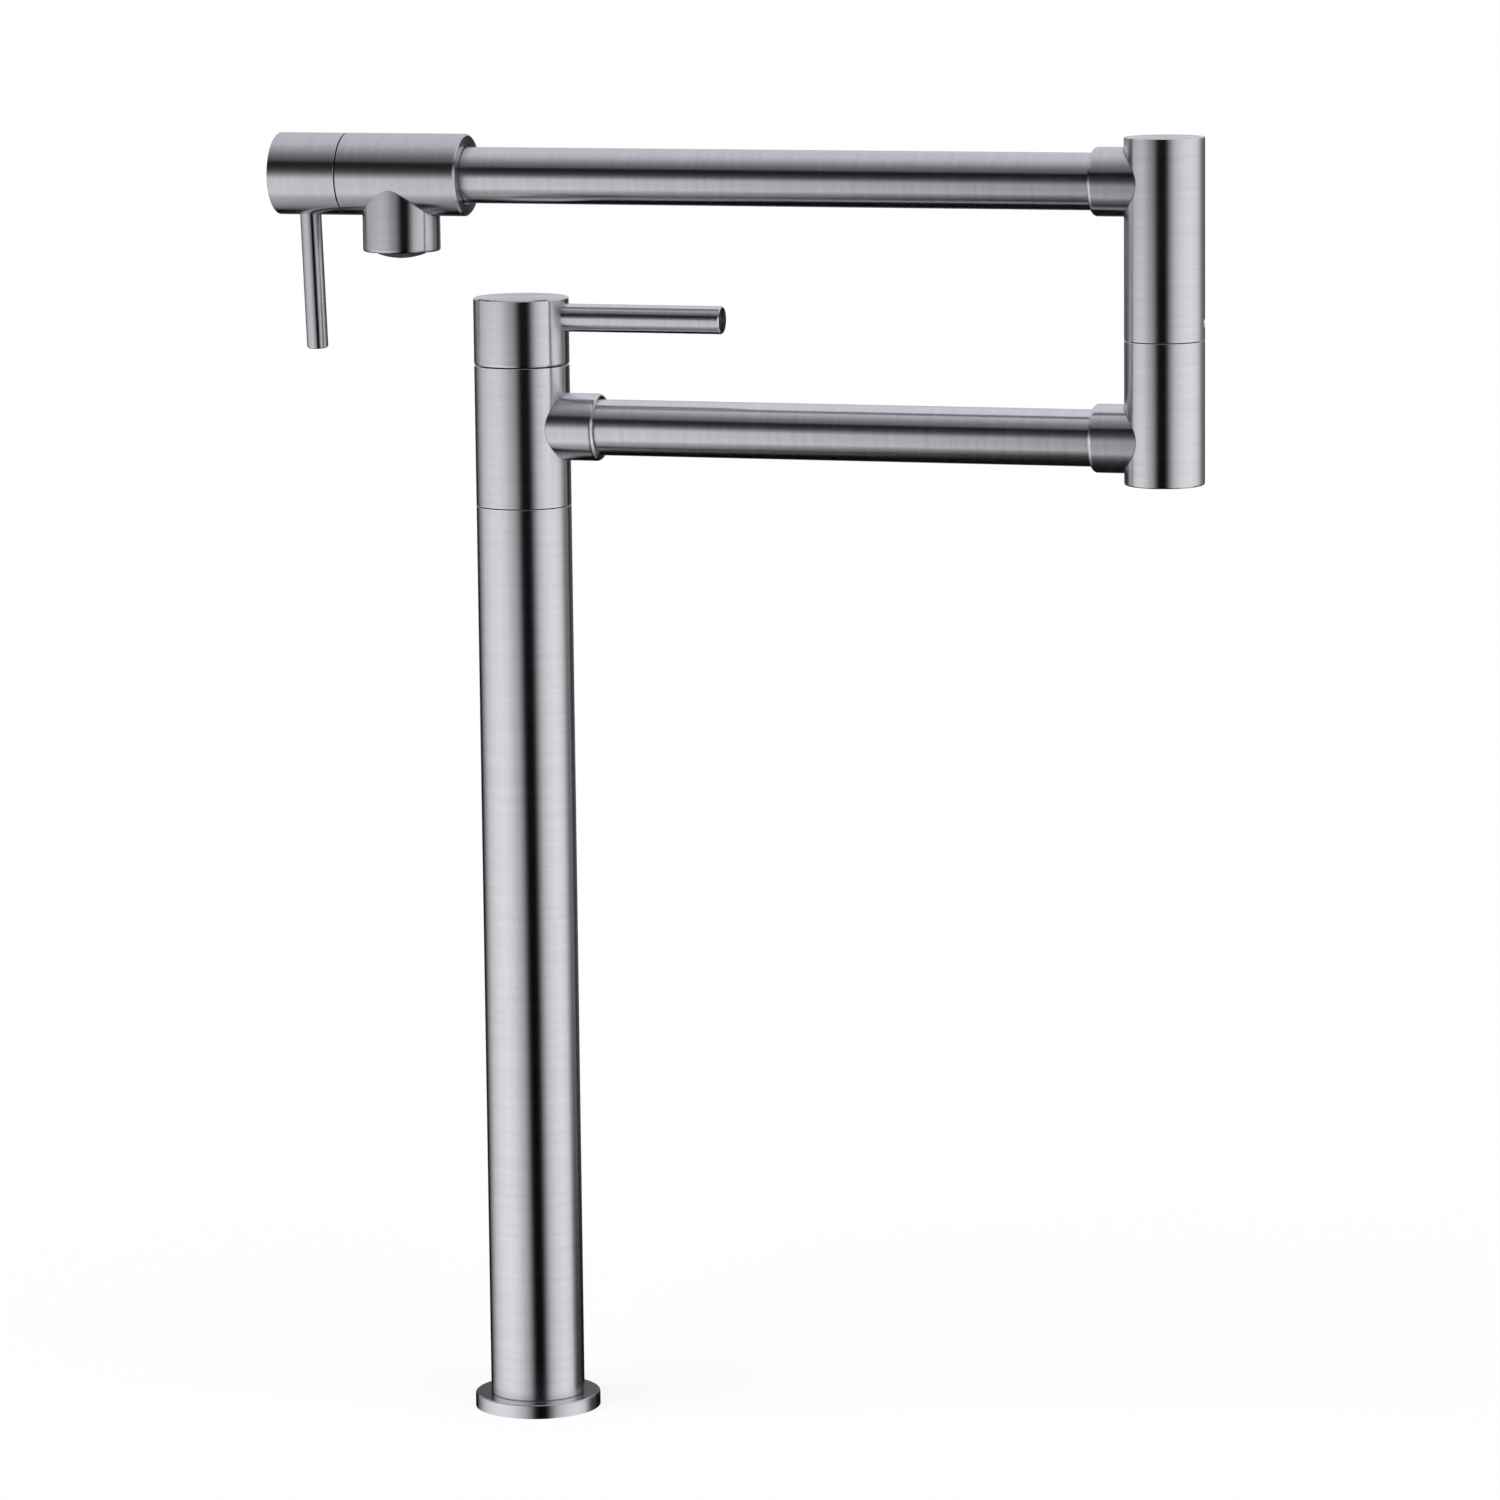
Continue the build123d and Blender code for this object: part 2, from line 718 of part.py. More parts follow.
with BuildPart() as upper_post:
    with BuildSketch(post_section):
        with BuildLine():
            Polyline(
                (spindle_r + running_fit, upper_post_bottom),
                (post_d / 2, upper_post_bottom),
                (post_d / 2, upper_post_top),
                (0, upper_post_top),
                (0, upper_post_top - post_floor),
                (post_chamber_d / 2, upper_post_top - post_floor),
                (post_chamber_d / 2, spindle_room_top),
                (spindle_r + running_fit, spindle_room_top),
                close=True,
            )
        make_face()
    revolve(axis=turning_axis(post_section))
    chamfer(widest_rims(upper_post), edge_break)
    with BuildSketch(across(post_section, upper_arm_z, (-1, 0, 0))):
        Circle(arm_port_d / 2)
    extrude(amount=post_d, mode=Mode.SUBTRACT)
    screw_plane = across(post_section, set_screw_z, set_screw_way)
    with BuildSketch(screw_plane):
        Circle(set_screw_d / 2 + joint_gap)
    extrude(amount=post_d, mode=Mode.SUBTRACT)
    with BuildSketch(screw_plane.offset(post_d / 2 - set_screw_mouth)):
        Circle(set_screw_d / 2 + joint_gap)
    extrude(amount=2 * set_screw_mouth, taper=-set_screw_flare, mode=Mode.SUBTRACT)
save(upper_post.part, "upper_post")

# Screw whose tip runs in the spindle's groove and keeps the upper post on it
set_screw_tip = spindle_r - set_groove_depth + set_groove_room

make_screw(
    "elbow_set_screw",
    screw_plane,
    set_screw_tip,
    set_screw_d,
    post_d / 2 - set_screw_sink - set_screw_tip,
    set_screw_hex,
    set_screw_hex_depth,
)

make_collar("upper_arm_collar", arm_span, post_d, upper_arm_z, collar_length_post, -1)
make_tube(
    "upper_arm_tube", arm_span - tube_stop, post_collar_end + tube_socket_depth, upper_arm_z
)

# Spout valve on the upper arm's end: tube socket, cartridge bore and the port to the outlet
hex_corner_r = (cartridge_d - cartridge_hex_step) / 3**0.5
mouth_r = hex_corner_r + mouth_room
relief_r = arm_tube_d / 2 + valve_relief

with BuildPart() as spout_valve_body:
    with BuildSketch(spout_section):
        with BuildLine():
            Polyline(
                (arm_tube_d / 2 + joint_gap, valve_start + valve_relief_depth),
                (relief_r, valve_start + valve_relief_depth),
                (relief_r, valve_start + edge_break),
                (relief_r + edge_break, valve_start),
                (valve_d / 2 - valve_rim_break, valve_start),
                (valve_d / 2, valve_start + valve_rim_break),
                (valve_d / 2, valve_end),
                (mouth_r, valve_end),
                (mouth_r, valve_mouth),
                (cartridge_d / 2 + joint_gap, valve_mouth),
                (cartridge_d / 2 + joint_gap, valve_seat),
                (waterway_d / 2, valve_seat),
                (waterway_d / 2, tube_stop),
                (arm_tube_d / 2 + joint_gap, tube_stop),
                close=True,
            )
        make_face()
    revolve(axis=turning_axis(spout_section))
    chamfer(widest_rims(spout_valve_body).sort_by(Axis.X)[0], edge_break)
    with BuildSketch(across(spout_section, spout_reach, (0, 0, -1))):
        Circle(valve_port_d / 2)
    extrude(amount=valve_d, mode=Mode.SUBTRACT)
save(spout_valve_body.part, "spout_valve_body")

# Outlet under the valve, saddled to it, with a socket for the aerator
outlet_x = arm_span - spout_reach
outlet_section = Plane(origin=(outlet_x, 0, 0), x_dir=(1, 0, 0), z_dir=(0, -1, 0))

with BuildPart() as spout_outlet:
    with BuildSketch(Plane(origin=(outlet_x, 0, outlet_bottom))):
        Circle(outlet_d / 2)
    extrude(amount=upper_arm_z - outlet_bottom)
    fillet(spout_outlet.faces().sort_by(Axis.Z)[0].edges(), outlet_edge)
    with BuildSketch(Plane(origin=(outlet_x, 0, outlet_bottom))):
        Circle(aerator_d / 2 + joint_gap)
    extrude(amount=aerator_socket_depth, mode=Mode.SUBTRACT)
    with BuildSketch(Plane(origin=(outlet_x, 0, outlet_bottom))):
        Circle(outlet_bore_d / 2)
    extrude(amount=upper_arm_z - outlet_bottom, mode=Mode.SUBTRACT)
    with BuildSketch(Plane.YZ.offset(outlet_x)):
        with Locations((0, upper_arm_z)):
            Circle(valve_d / 2 + joint_gap)
    extrude(amount=outlet_d, both=True, mode=Mode.SUBTRACT)
    chamfer(saddle_rims(spout_outlet), saddle_break)
save(spout_outlet.part, "spout_outlet")

# Aerator: screwed housing with an inner lip, the screen that rests on the lip, and a seal
lip_r = aerator_bore_r - aerator_lip
aerator_edge_z = outlet_bottom - aerator_stand_out
lip_top = aerator_edge_z + aerator_lip_rise
screen_top = lip_top + screen_flange
dome_r = (aerator_d**2 / 4 + aerator_sag**2) / (2 * aerator_sag)
dome_centre_z = aerator_edge_z - aerator_sag + dome_r


def on_dome(radius):
    """The point of the aerator's domed face at a radius, in the outlet's section."""
    return (radius, dome_centre_z - (dome_r**2 - radius**2) ** 0.5)


with BuildPart() as aerator_housing:
    with BuildSketch(outlet_section):
        with BuildLine():
            RadiusArc(on_dome(lip_r), on_dome(aerator_d / 2), -dome_r)
            Polyline(
                on_dome(aerator_d / 2),
                (aerator_d / 2, aerator_top),
                (aerator_bore_r, aerator_top),
                (aerator_bore_r, lip_top),
                (lip_r, lip_top),
                on_dome(lip_r),
            )
        make_face()
    revolve(axis=turning_axis(outlet_section))
save(aerator_housing.part, "aerator_housing")

with BuildPart() as aerator_screen:
    with BuildSketch(outlet_section):
        with BuildLine():
            RadiusArc(on_dome(0), on_dome(lip_r - joint_gap), -dome_r)
            Polyline(
                on_dome(lip_r - joint_gap),
                (lip_r - joint_gap, lip_top),
                (aerator_bore_r - joint_gap, lip_top),
                (aerator_bore_r - joint_gap, screen_top),
                (0, screen_top),
                on_dome(0),
            )
        make_face()
    revolve(axis=turning_axis(outlet_section))
    with BuildSketch(Plane(origin=(outlet_x, 0, screen_top))):
        Circle(screen_hole_d / 2)
        for ring_number in range(1, screen_rings + 1):
            with PolarLocations(ring_number * screen_hole_pitch, 6 * ring_number):
                Circle(screen_hole_d / 2)
    extrude(amount=-aerator_socket_depth, mode=Mode.SUBTRACT)
save(aerator_screen.part, "aerator_screen")

make_ring(
    "aerator_seal",
    outlet_section,
    aerator_d / 2 - aerator_seal_width,
    aerator_d / 2,
    aerator_top,
    aerator_socket_top,
)

make_cartridge(
    "spout", spout_section, spout_handle_section, valve_seat, spout_hub_end - hub_roof
)

# Handles
make_handle(
    "column",
    column_section,
    column_d,
    column_hub_bottom,
    column_hub_top,
    column_hub_bevel,
    column_hub_break,
    column_hub_top - column_lever_drop,
    column_lever_d,
    column_lever_reach,
)
make_handle(
    "spout",
    spout_handle_section,
    valve_d,
    spout_hub_start,
    spout_hub_end,
    spout_hub_bevel,
    spout_hub_break,
    spout_hub_end - spout_lever_drop,
    spout_lever_d,
    spout_lever_reach,
)
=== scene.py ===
"""Looks of the folding pot filler: brushed stainless steel, photographed in a white light tent."""
import json
import math

import bpy
from mathutils import Matrix, Vector


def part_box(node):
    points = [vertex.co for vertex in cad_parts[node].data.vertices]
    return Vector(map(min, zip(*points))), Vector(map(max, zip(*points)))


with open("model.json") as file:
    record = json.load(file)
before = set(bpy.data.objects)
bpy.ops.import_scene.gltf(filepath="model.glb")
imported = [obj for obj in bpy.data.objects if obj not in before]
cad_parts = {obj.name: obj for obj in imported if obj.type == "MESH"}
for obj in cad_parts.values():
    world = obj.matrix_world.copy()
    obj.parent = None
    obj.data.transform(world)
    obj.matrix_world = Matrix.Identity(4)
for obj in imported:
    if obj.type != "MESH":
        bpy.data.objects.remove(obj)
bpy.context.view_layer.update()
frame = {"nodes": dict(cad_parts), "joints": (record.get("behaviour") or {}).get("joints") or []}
cad_nodes = frame["nodes"]

# Camera, at the photograph's viewing angle (metres and degrees)
camera_place = (0.8874, -2.5860, 0.7113)
camera_heading = 16.9734
camera_dip = 8.9096
camera_roll = -0.606
camera_focal_px = 6543.0
photo_width_px = 1500.0
sensor_width_mm = 36.0
view_limit = 100.0

# Light tent round the tap, whose front is nearer to the tap than its back
post_x = next(joint for joint in frame["joints"] if joint["name"] == "elbow_swivel")["pos_m"][0]
tap_middle = (post_x / 2, 0.0, 0.0)
tent_centre = (post_x / 2, 0.16)
tent_radius = 0.95
tent_foot = -0.6
tent_head = 1.03
tent_sides = 96
cloth_tint = (0.985, 0.985, 1.03)
wall_brightness = 1.12

# Share of the wall's brightness by heading from the tap's middle: degrees from the front, positive
# towards the elbow post
wall_by_heading = (
    (-180, 0.08),
    (-163, 0.15),
    (-150, 0.09),
    (-140, 0.05),
    (-122, 0.06),
    (-98, 0.58),
    (-80, 0.84),
    (-57, 0.97),
    (-45, 0.94),
    (-33, 0.83),
    (-22, 0.66),
    (-11, 0.46),
    (-1, 0.16),
    (5, 0.02),
    (25, 0.01),
    (33, 0.16),
    (46, 0.56),
    (60, 0.80),
    (88, 0.97),
    (104, 0.90),
    (122, 0.67),
    (142, 0.17),
    (149, 0.25),
    (158, 0.04),
    (170, 0.03),
    (180, 0.08),
)

# Share of that brightness by height in metres, at the front
wall_by_height = (
    (tent_foot, 1.00),
    (0.28, 1.00),
    (0.35, 0.97),
    (0.39, 0.85),
    (0.43, 0.69),
    (0.47, 0.52),
    (0.51, 0.37),
    (0.58, 0.16),
    (0.67, 0.07),
    (0.75, 0.03),
    (tent_head, 0.02),
)

# Beside the front the wall is lit higher up: headings where that begins and is full, and the rise
column_side_rise = (-22, -42, 0.05)
post_side_rise = (8, 34, 0.25)

# Below this height the wall fades to this share of its brightness at the table
wall_foot_from = -0.30
wall_foot_share = 0.60

# Behind the tap, past these headings, the wall is lit above a dark edge, which steps up towards the
# post's side
back_light_from = 98
back_light_full = 128
back_dark_height = 0.42
back_light_height = 0.58
back_step = 0.30
back_step_from = -0.10
back_step_to = 0.20
back_brightness = 0.58

# Behind the tap, past these headings, the foot of the wall is dark
back_foot_from = 115
back_foot_full = 138
back_foot_dark = -0.25
back_foot_light = -0.05

# Brightness of the ceiling by distance in front of (negative) or behind the arms, in metres
ceiling_height = 1.9
ceiling_width = 5.2
ceiling_by_depth = (
    (-ceiling_width / 2, 0.08),
    (-1.60, 0.15),
    (-1.00, 0.23),
    (-0.74, 0.32),
    (-0.50, 0.43),
    (-0.28, 0.54),
    (-0.07, 0.65),
    (0.15, 0.72),
    (0.40, 0.77),
    (ceiling_width / 2, 0.77),
)

# The table is lit towards both sides: direction, and the distances where light begins and is full
table_brightness = 0.66
table_lights = (
    ((-0.94, -0.34, 0.0), 0.23, 0.50),
    ((0.98, 0.20, 0.0), 0.39, 0.91),
)

# Floor, background and lamps, which light the floor and the matt pieces: place and strength
white = (1.0, 1.0, 1.0, 1.0)
floor_width = 60.0
floor_colour = (0.9, 0.9, 0.9, 1.0)
floor_glow = 0.8
ambient_light = 0.45
lamp_spread = 50.0
lamps = {
    "key_lamp": ((-1.6, -1.8, 2.9), 1.6),
    "fill_lamp": ((2.2, -1.2, 2.9), 1.1),
}

# Directions of the pieces' own axes
upright = (0.0, 0.0, 1.0)
along_arms = (1.0, 0.0, 0.0)
behind_column = (0.0, 1.0, 0.0)
spout_lever_swing = math.radians(5.09)
down_lever = (0.0, math.sin(spout_lever_swing), -math.cos(spout_lever_swing))
behind_spout = (0.0, math.cos(spout_lever_swing), math.sin(spout_lever_swing))

# Metals
steel_colour = (0.667, 0.675, 0.711)
steel_roughness = 0.23
steel_lines_per_metre = 1500.0
plain_steel_colour = (0.42, 0.42, 0.43)
plain_steel_roughness = 0.35
brass_colour = (0.78, 0.62, 0.32)
brass_roughness = 0.32
brass_lines_per_metre = 900.0
brush_anisotropy = 1.0
quarter_turn = 0.25

# Painted light and shade: these pieces' steel colour is made a little lighter or darker, for how
# much light falls on them
painted_light_by_piece = {
    "lower_arm_inner_collar": 1.09,
    "lower_arm_tube": 1.09,
    "lower_arm_outer_collar": 1.09,
    "column_lever": 1.06,
    "upper_arm_collar": 0.95,
    "upper_arm_tube": 0.95,
    "spout_valve_body": 0.88,
    "spout_handle_hub": 0.89,
    "spout_outlet": 0.88,
    "spout_lever": 0.80,
}

# Flat ends are brushed finer, but for the valve's end round the arm
end_smoothness = 0.45
end_margin = 0.0004
coarse_ended = ("spout_valve_body",)

# Brush marks are two layers of lines: how fast they change round a piece, how close they lie, and
# each layer's share
brush_layers = (
    (55.0, 1.0, 0.4),
    (22.0, 0.23, 0.6),
)
brush_detail = 2.0
brush_range = (0.32, 0.68)
brush_contrast = 0.055
brush_roughness = (0.94, 1.03)
brush_bump = 0.03
cloud_scale = 45.0
cloud_detail = 3.0
cloud_range = (0.3, 0.7)
cloud_roughness = 0.06

# Grain and ribs of the moulded pieces
surface_depth = 0.0002
grain_detail = 4.0
grain_range = (0.3, 0.7)
grain_contrast = 0.12
grain_roughness = (0.9, 1.1)
rib_count = 60.0
rib_depth = 0.0003
rib_bump = 0.5
rib_contrast = 0.5
rib_roughness = (1.1, 0.9)
dark_plastic_colour = (0.055, 0.055, 0.06)
dark_plastic_roughness = 0.5


def add_node(tree, kind, inputs=(), **settings):
    """Adds a node with its properties, and fills its inputs with values or other nodes' outputs."""
    made = tree.nodes.new(kind)
    for name, value in settings.items():
        setattr(made, name, value)
    for key, value in dict(inputs).items():
        if isinstance(value, bpy.types.NodeSocket):
            tree.links.new(value, made.inputs[key])
        else:
            made.inputs[key].default_value = value
    return made


def calculate(tree, operation, *values):
    """A Math node's output, with each value a number or another node's output."""
    return add_node(tree, "ShaderNodeMath", enumerate(values), operation=operation).outputs[0]


def combine(tree, operation, first, second):
    """A Vector Math node's vector, from two vectors or colours."""
    vectors = {0: first, 1: second}
    return add_node(tree, "ShaderNodeVectorMath", vectors, operation=operation).outputs["Vector"]


def sum_of(tree, *values):
    """Adds up several values."""
    total = values[0]
    for value in values[1:]:
        total = calculate(tree, "ADD", total, value)
    return total


def parts_of(tree, vector):
    """The X, Y and Z of a vector."""
    return add_node(tree, "ShaderNodeSeparateXYZ", {"Vector": vector}).outputs


def rescale(tree, value, low, high, to_low=0.0, to_high=1.0, smooth=False):
    """Maps a value from one range to another, held at the ends."""
    ranges = {"Value": value, "From Min": low, "From Max": high, "To Min": to_low, "To Max": to_high}
    kind = "SMOOTHSTEP" if smooth else "LINEAR"
    return add_node(tree, "ShaderNodeMapRange", ranges, interpolation_type=kind).outputs["Result"]


def brightness_ramp(tree, value, stops):
    """Brightness by a measure, from (measure, brightness) stops."""
    first = stops[0][0]
    last = stops[-1][0]
    ramp = add_node(tree, "ShaderNodeValToRGB", {"Fac": rescale(tree, value, first, last)})
    ramp.color_ramp.interpolation = "CARDINAL"
    points = ramp.color_ramp.elements
    while len(points) < len(stops):
        points.new(0.5)
    for point, (measure, brightness) in zip(points, stops):
        point.position = (measure - first) / (last - first)
        point.color = (brightness, brightness, brightness, 1.0)
    return ramp.outputs["Color"]


def own_place(tree):
    """Position on a piece, in metres."""
    return add_node(tree, "ShaderNodeTexCoord").outputs["Object"]


def place_from(tree, centre):
    """Position on a piece, measured from a centre."""
    return combine(tree, "SUBTRACT", own_place(tree), centre)


def new_material(name):
    """An empty node material with its output, as (material, tree, output)."""
    material = bpy.data.materials.new(name)
    material.use_nodes = True
    material.node_tree.nodes.clear()
    output = add_node(material.node_tree, "ShaderNodeOutputMaterial")
    return material, material.node_tree, output


def glowing(tree, output, colour, strength=1.0):
    """Finishes a stage material as a plain glow."""
    glow = add_node(tree, "ShaderNodeEmission", {"Color": colour, "Strength": strength})
    tree.links.new(glow.outputs[0], output.inputs["Surface"])


def side_lights(tree, heading, aside, height):
    """Light on the wall's front and sides, which fades upwards and near the table."""
    rises = [
        rescale(tree, heading, begin, full, 0.0, rise, smooth=True)
        for begin, full, rise in (column_side_rise, post_side_rise)
    ]
    front_height = calculate(tree, "SUBTRACT", height, sum_of(tree, *rises))
    round_about = brightness_ramp(tree, heading, wall_by_heading)
    up_wall = brightness_ramp(tree, front_height, wall_by_height)
    at_back = rescale(tree, aside, back_foot_from, back_foot_full, smooth=True)
    unlit = rescale(tree, height, back_foot_light, back_foot_dark, smooth=True)
    back_share = calculate(tree, "SUBTRACT", 1.0, calculate(tree, "MULTIPLY", at_back, unlit))
    low_share = rescale(tree, height, tent_foot, wall_foot_from, wall_foot_share, 1.0)
    foot_share = calculate(tree, "MULTIPLY", back_share, low_share)
    return combine(tree, "MULTIPLY", combine(tree, "MULTIPLY", round_about, up_wall), foot_share)


def back_light(tree, aside, across, height):
    """Light high on the wall behind the tap."""
    behind = rescale(tree, aside, back_light_from, back_light_full, smooth=True)
    step = rescale(tree, across, back_step_from, back_step_to, 0.0, back_step, smooth=True)
    above = rescale(
        tree,
        calculate(tree, "SUBTRACT", height, step),
        back_dark_height,
        back_light_height,
        0.0,
        back_brightness,
        smooth=True,
    )
    return combine(tree, "MULTIPLY", calculate(tree, "MULTIPLY", behind, above), cloth_tint)


def tent_wall_material():
    """Cloth wall with a soft light on each side and a dark gap at the front, for the camera."""
    material, tree, output = new_material("tent_wall")
    x, y, z = parts_of(tree, place_from(tree, tap_middle))
    front = calculate(tree, "MULTIPLY", y, -1.0)
    heading = calculate(tree, "DEGREES", calculate(tree, "ARCTAN2", x, front))
    aside = calculate(tree, "ABSOLUTE", heading)
    sides = side_lights(tree, heading, aside, z)
    back = back_light(tree, aside, x, z)
    glowing(tree, output, combine(tree, "MAXIMUM", sides, back), wall_brightness)
    return material


def ceiling_material():
    """White cloth overhead, which darkens towards the camera."""
    material, tree, output = new_material("tent_ceiling")
    depth = parts_of(tree, own_place(tree))["Y"]
    shade = brightness_ramp(tree, depth, ceiling_by_depth)
    glowing(tree, output, combine(tree, "MULTIPLY", shade, cloth_tint))
    return material


def table_material():
    """Dark table below the tap, lit towards the column's side and the post's side."""
    material, tree, output = new_material("tent_table")
    place = own_place(tree)
    shades = []
    for direction, begin, full in table_lights:
        reach = add_node(
            tree, "ShaderNodeVectorMath", {0: place, 1: direction}, operation="DOT_PRODUCT"
        ).outputs["Value"]
        shades.append(rescale(tree, reach, begin, full, 0.0, table_brightness, smooth=True))
    glowing(tree, output, calculate(tree, "MAXIMUM", *shades))
    return material


def set_the_stage(name, material):
    """Names the new floor or tent piece, puts its place in its mesh, and gives it its material."""
    piece = bpy.context.object
    piece.name = name
    bpy.ops.object.select_all(action="DESELECT")
    piece.select_set(True)
    bpy.ops.object.transform_apply(location=True, rotation=True, scale=True)
    piece.data.materials.append(material)
    return piece


def show_in_reflections_only(piece):
    """Hides a piece of the tent from the camera and from matt surfaces."""
    piece.visible_camera = False
    piece.visible_diffuse = False
    piece.visible_transmission = False
    piece.visible_shadow = False


def make_tent():
    """Wall, ceiling and table, which only reflections show."""
    bpy.ops.mesh.primitive_cylinder_add(
        vertices=tent_sides,
        radius=tent_radius,
        depth=tent_head - tent_foot,
        end_fill_type="NOTHING",
        location=(*tent_centre, (tent_head + tent_foot) / 2),
    )
    show_in_reflections_only(set_the_stage("tent_wall", tent_wall_material()))
    bpy.ops.mesh.primitive_plane_add(size=ceiling_width, location=(*tent_centre, ceiling_height))
    show_in_reflections_only(set_the_stage("tent_ceiling", ceiling_material()))
    bpy.ops.mesh.primitive_circle_add(
        vertices=tent_sides,
        radius=tent_radius,
        fill_type="NGON",
        location=(*tent_centre, tent_foot),
    )
    show_in_reflections_only(set_the_stage("tent_table", table_material()))


def make_floor():
    """White floor that keeps the tap's soft shadow, and is clear from below."""
    material, tree, output = new_material("white_floor")
    glow = add_node(tree, "ShaderNodeEmission", {"Color": white})
    matt = add_node(tree, "ShaderNodeBsdfDiffuse", {"Color": floor_colour})
    both = add_node(
        tree, "ShaderNodeMixShader", {0: floor_glow, 1: matt.outputs[0], 2: glow.outputs[0]}
    )
    seen = add_node(tree, "ShaderNodeLightPath").outputs["Is Camera Ray"]
    above = add_node(
        tree, "ShaderNodeMixShader", {0: seen, 1: matt.outputs[0], 2: both.outputs[0]}
    )
    from_below = add_node(tree, "ShaderNodeNewGeometry").outputs["Backfacing"]
    clear = add_node(tree, "ShaderNodeBsdfTransparent")
    surface = add_node(
        tree, "ShaderNodeMixShader", {0: from_below, 1: above.outputs[0], 2: clear.outputs[0]}
    )
    tree.links.new(surface.outputs[0], output.inputs["Surface"])
    bpy.ops.mesh.primitive_plane_add(size=floor_width)
    floor = set_the_stage("floor", material)
    floor.visible_glossy = False


def make_world():
    """White background for the camera and for reflections, with less of it on matt pieces."""
    world = bpy.data.worlds.new("white_studio")
    bpy.context.scene.world = world
    world.use_nodes = True
    tree = world.node_tree
    path = add_node(tree, "ShaderNodeLightPath").outputs
    mirrored = calculate(tree, "MAXIMUM", path["Is Glossy Ray"], path["Is Transmission Ray"])
    seen = calculate(tree, "MAXIMUM", path["Is Camera Ray"], mirrored)
    strength = rescale(tree, seen, 0.0, 1.0, ambient_light, 1.0)
    background = tree.nodes["Background"]
    background.inputs["Color"].default_value = white
    tree.links.new(strength, background.inputs["Strength"])


def make_lamp(name, place, strength):
    """A wide, soft lamp far off, which reflections don't show."""
    light = bpy.data.lights.new(name, "SUN")
    light.energy = strength
    light.angle = math.radians(lamp_spread)
    lamp = bpy.data.objects.new(name, light)
    bpy.context.scene.collection.objects.link(lamp)
    lamp.location = place
    lamp.rotation_euler = (-Vector(place)).to_track_quat("-Z", "Y").to_euler()
    lamp.visible_glossy = False


def make_camera():
    """The photograph's camera."""
    lens = bpy.data.cameras.new("camera")
    lens.sensor_width = sensor_width_mm
    lens.lens = camera_focal_px / photo_width_px * sensor_width_mm
    lens.clip_end = view_limit
    camera = bpy.data.objects.new("camera", lens)
    bpy.context.scene.collection.objects.link(camera)
    camera.matrix_world = (
        Matrix.Translation(camera_place)
        @ Matrix.Rotation(math.radians(camera_heading), 4, "Z")
        @ Matrix.Rotation(math.radians(90.0 - camera_dip), 4, "X")
        @ Matrix.Rotation(math.radians(camera_roll), 4, "Z")
    )
    bpy.context.scene.camera = camera


def noise_at(tree, place, scale, detail):
    """A noise pattern's value."""
    noise = {"Vector": place, "Scale": scale, "Detail": detail}
    return add_node(tree, "ShaderNodeTexNoise", noise).outputs["Fac"]


def make_brush_marks():
    """Fine lines round a turned piece, whose axis is Z: rings on its ends, hoops on its sides."""
    group = bpy.data.node_groups.new("brush_marks", "ShaderNodeTree")
    face = group.interface
    face.new_socket("Position", in_out="INPUT", socket_type="NodeSocketVector")
    face.new_socket("Lines per metre", in_out="INPUT", socket_type="NodeSocketFloat")
    face.new_socket("Streak", in_out="OUTPUT", socket_type="NodeSocketFloat")
    face.new_socket("Cloud", in_out="OUTPUT", socket_type="NodeSocketFloat")
    enter = add_node(group, "NodeGroupInput").outputs
    x, y, z = parts_of(group, enter["Position"])
    flat = add_node(group, "ShaderNodeCombineXYZ", {"X": x, "Y": y}).outputs[0]
    radius = add_node(group, "ShaderNodeVectorMath", {0: flat}, operation="LENGTH").outputs["Value"]
    lines = calculate(group, "MULTIPLY", sum_of(group, z, radius), enter["Lines per metre"])
    layers = []
    for change, closeness, share in brush_layers:
        stretched = {
            "X": calculate(group, "MULTIPLY", x, change),
            "Y": calculate(group, "MULTIPLY", y, change),
            "Z": calculate(group, "MULTIPLY", lines, closeness),
        }
        place = add_node(group, "ShaderNodeCombineXYZ", stretched).outputs[0]
        layer = noise_at(group, place, 1.0, brush_detail)
        layers.append(calculate(group, "MULTIPLY", layer, share))
    cloud = noise_at(group, enter["Position"], cloud_scale, cloud_detail)
    leave = add_node(group, "NodeGroupOutput")
    group.links.new(rescale(group, sum_of(group, *layers), *brush_range), leave.inputs["Streak"])
    group.links.new(rescale(group, cloud, *cloud_range), leave.inputs["Cloud"])
    return group


brush_marks = make_brush_marks()


def middle_of(node):
    """Centre of a node's box, which every turned piece has on its axis."""
    low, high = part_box(node)
    return (low + high) / 2


def half_length(node, axis):
    """Half of a piece's length along its axis."""
    low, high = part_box(node)
    return abs((high - low).dot(Vector(axis))) / 2


def about_own_axis(tree, node, axis):
    """Position on a turned piece, from its own centre and with its axis turned to Z."""
    centred = place_from(tree, middle_of(node))
    turn = Vector(axis).rotation_difference(Vector(upright)).to_euler()
    return add_node(tree, "ShaderNodeMapping", {"Vector": centred, "Rotation": turn}).outputs[0]


def round_own_axis(tree, node, axis):
    """Direction round a turned piece's axis, which its brush marks follow."""
    around = combine(tree, "CROSS_PRODUCT", axis, place_from(tree, middle_of(node)))
    return add_node(
        tree,
        "ShaderNodeVectorTransform",
        {"Vector": around},
        vector_type="VECTOR",
        convert_from="OBJECT",
        convert_to="WORLD",
    ).outputs[0]


def tint(colour, share):
    """A colour made darker or lighter, with its alpha."""
    return (*(part * share for part in colour), 1.0)


def two_shades(tree, mask, colour, contrast):
    """A colour that swings a little darker and lighter with a mask."""
    shades = {0: mask, 1: tint(colour, 1.0 - contrast), 2: tint(colour, 1.0 + contrast)}
    return add_node(tree, "ShaderNodeMixRGB", shades).outputs[0]


